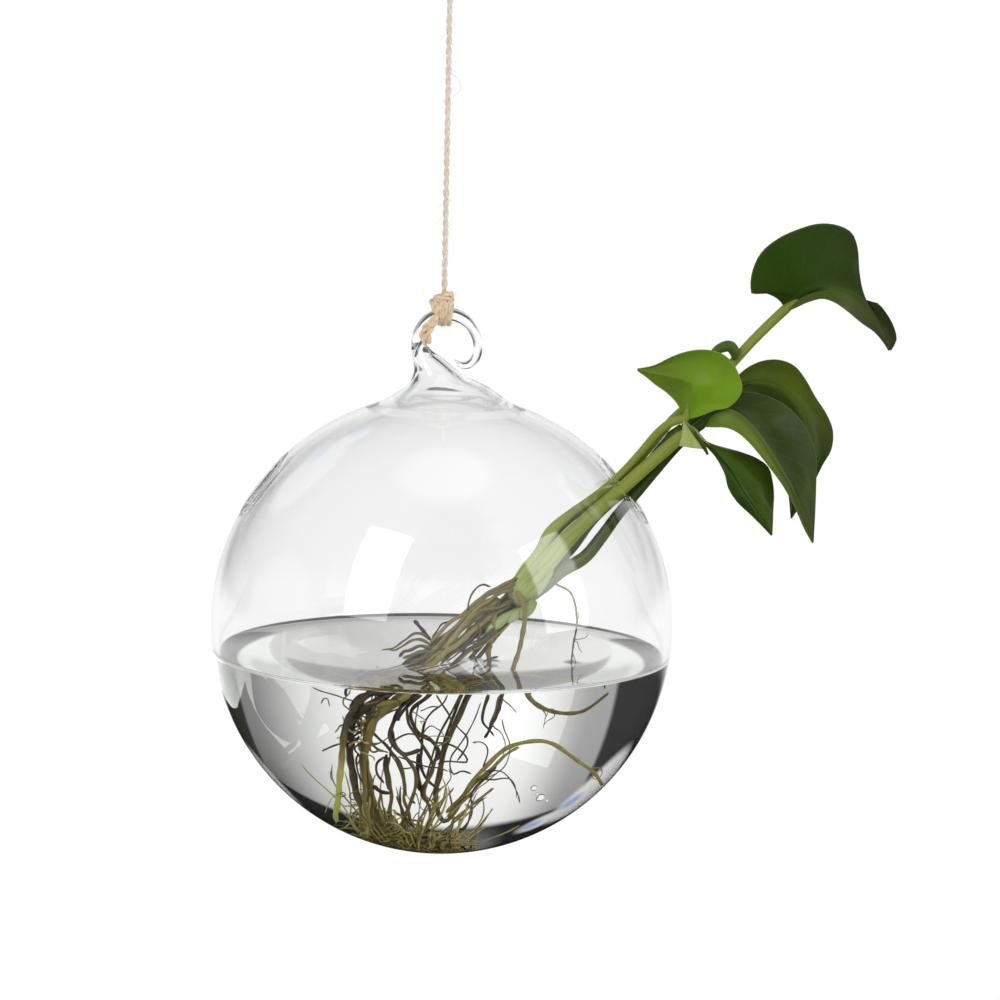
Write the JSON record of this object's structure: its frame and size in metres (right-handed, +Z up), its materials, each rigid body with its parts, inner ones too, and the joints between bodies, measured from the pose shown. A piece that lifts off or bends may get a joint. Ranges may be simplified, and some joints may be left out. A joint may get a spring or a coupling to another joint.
{
  "type": "hanging vase",
  "caption": "Hanging glass globe vase with side mouths and a curled glass hook, tied up on jute twine, holding a rooted leafy cutting.",
  "frame": {"origin": "top of the twine's hanging loop, where a nail or hook carries the whole piece", "axes": "+Z up along the hanging twine, +X towards the mouth that the cutting stands in, +Y away from the viewer"},
  "size_m": [0.1762, 0.12, 0.2525],
  "materials": {
    "glass": "clear polished",
    "twine": "twisted natural jute",
    "crown": "smooth pale plant tissue",
    "stalk": "smooth green plant tissue",
    "leaf": "waxy dark green leaf",
    "young_leaf": "waxy bright green leaf",
    "root": "fibrous olive brown root"
  },
  "bodies": {
    "hanger": {"top_loop": "twine"},
    "head": {"top_knot": "twine"},
    "line": {"hanging_cord": "twine"},
    "eye": {"lower_knot": "twine", "ring_loop": "twine", "cord_tail": "twine"},
    "vase": {"glass_globe": "glass", "glass_hook": "glass"},
    "cutting": {"crown": "crown", "leaf_stalk_1": "stalk", "leaf_stalk_2": "stalk", "leaf_stalk_3": "stalk", "leaf_stalk_4": "stalk", "leaf_stalk_5": "stalk", "leaf_1": "leaf", "leaf_2": "young_leaf", "leaf_3": "leaf", "leaf_4": "leaf", "leaf_5": "leaf", "bract": "young_leaf", "root_1": "root", "root_2": "root", "root_3": "root", "root_4": "root", "root_5": "root", "root_6": "root", "root_7": "root", "fine_root_1": "root", "fine_root_2": "root"}
  },
  "joints": [
    {"name": "swing_fore_aft", "type": "hinge", "parent": "hanger", "child": "head", "pos_m": [0, 0, -0.0202], "axis": [1, 0, 0], "range_deg": [-25, 25]},
    {"name": "swing_sideways", "type": "hinge", "parent": "head", "child": "line", "pos_m": [0, 0, -0.02431], "axis": [0, 1, 0], "range_deg": [-25, 25]},
    {"name": "vase_spin", "type": "hinge", "parent": "line", "child": "eye", "pos_m": [0, 0, -0.10746], "axis": [0, 0, 1], "range_deg": [-180, 180]},
    {"name": "ring_rock", "type": "hinge", "parent": "eye", "child": "vase", "pos_m": [0.001, 0, -0.11876], "axis": [0, 1, 0], "range_deg": [-20, 20]},
    {"name": "cutting_lift", "type": "slide", "parent": "vase", "child": "cutting", "axis": [0.6691, 0, 0.7431], "range_m": [0, 0.12], "deforming": ["root_1", "root_2", "root_3", "root_4", "root_5", "root_6", "root_7", "fine_root_1", "fine_root_2"]}
  ]
}
